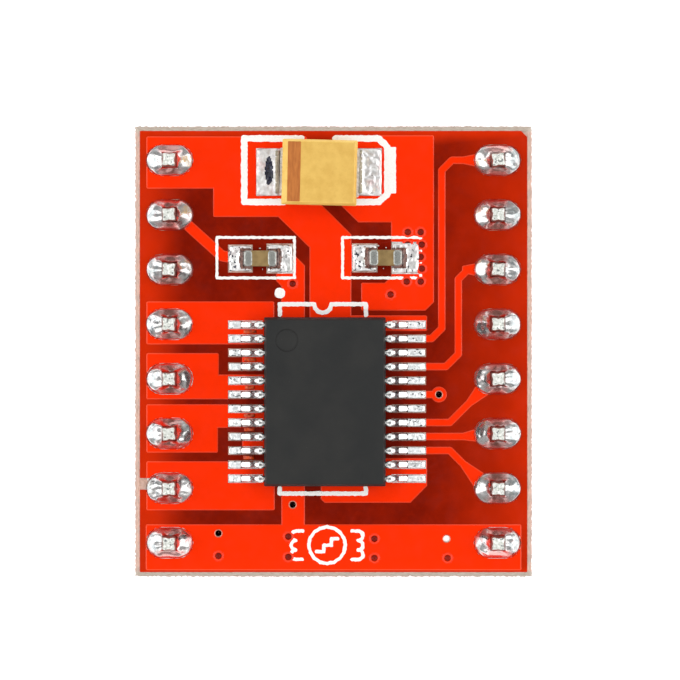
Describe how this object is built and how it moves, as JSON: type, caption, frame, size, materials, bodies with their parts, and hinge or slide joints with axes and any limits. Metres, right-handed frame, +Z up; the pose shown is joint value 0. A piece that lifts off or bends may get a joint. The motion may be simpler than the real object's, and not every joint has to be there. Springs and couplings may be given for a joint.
{
  "type": "stepper driver module",
  "caption": "Small rectangular dual H-bridge motor driver board on two rows of square header pins, with one flat driver package and three chip capacitors.",
  "frame": {"origin": "centre of the board in plan, on the plane that the header pin tips touch", "axes": "+Z up through the board towards its component side, +Y along the pin rows towards the tantalum capacitor, +X towards the logic-side pin row"},
  "size_m": [0.0186, 0.021, 0.012],
  "materials": {
    "laminate": "rough snapped glass-epoxy edge",
    "copper": "satin",
    "plating": "tinned",
    "solder_mask": "glossy red solder mask",
    "ink": "matte white ink",
    "strip_plastic": "satin black moulding",
    "pin_metal": "bright tin plate",
    "solder": "bright solder",
    "driver_moulding": "fine matte moulding compound",
    "lead_metal": "matte tin plate",
    "adhesive": "silver-filled epoxy",
    "silicon": "polished silicon",
    "bond_wire": "bright gold wire",
    "tantalum_moulding": "satin yellow moulding",
    "band_ink": "brown marking ink",
    "tantalum_metal": "dark sintered metal",
    "ceramic": "satin tan ceramic",
    "end_metal": "tinned end cap",
    "electrode": "nickel plate"
  },
  "bodies": {
    "root": {"laminate": "laminate", "top_copper": "copper", "bottom_copper": "copper", "header_hole_plating": "plating", "via_plating": "plating", "top_solder_mask": "solder_mask", "bottom_solder_mask": "solder_mask", "top_silkscreen": "ink", "bottom_silkscreen": "ink", "left_header_strip": "strip_plastic", "right_header_strip": "strip_plastic", "left_pin_1": "pin_metal", "left_pin_2": "pin_metal", "left_pin_3": "pin_metal", "left_pin_4": "pin_metal", "left_pin_5": "pin_metal", "left_pin_6": "pin_metal", "left_pin_7": "pin_metal", "left_pin_8": "pin_metal", "right_pin_1": "pin_metal", "right_pin_2": "pin_metal", "right_pin_3": "pin_metal", "right_pin_4": "pin_metal", "right_pin_5": "pin_metal", "right_pin_6": "pin_metal", "right_pin_7": "pin_metal", "right_pin_8": "pin_metal", "left_header_solder": "solder", "right_header_solder": "solder", "driver_body": "driver_moulding", "driver_die_pad": "lead_metal", "driver_die_attach": "adhesive", "driver_die": "silicon", "driver_bond_wires": "bond_wire", "driver_leads_left": "lead_metal", "driver_leads_right": "lead_metal", "driver_solder_left": "solder", "driver_solder_right": "solder", "tantalum_case": "tantalum_moulding", "tantalum_polarity_band": "band_ink", "tantalum_anode_terminal": "lead_metal", "tantalum_cathode_terminal": "lead_metal", "tantalum_pellet": "tantalum_metal", "tantalum_anode_wire": "tantalum_metal", "tantalum_silver_adhesive": "adhesive", "tantalum_solder": "solder", "logic_capacitor_body": "ceramic", "logic_capacitor_left_end": "end_metal", "logic_capacitor_right_end": "end_metal", "logic_capacitor_electrodes": "electrode", "logic_capacitor_solder": "solder", "motor_capacitor_body": "ceramic", "motor_capacitor_left_end": "end_metal", "motor_capacitor_right_end": "end_metal", "motor_capacitor_electrodes": "electrode", "motor_capacitor_solder": "solder"}
  },
  "joints": []
}
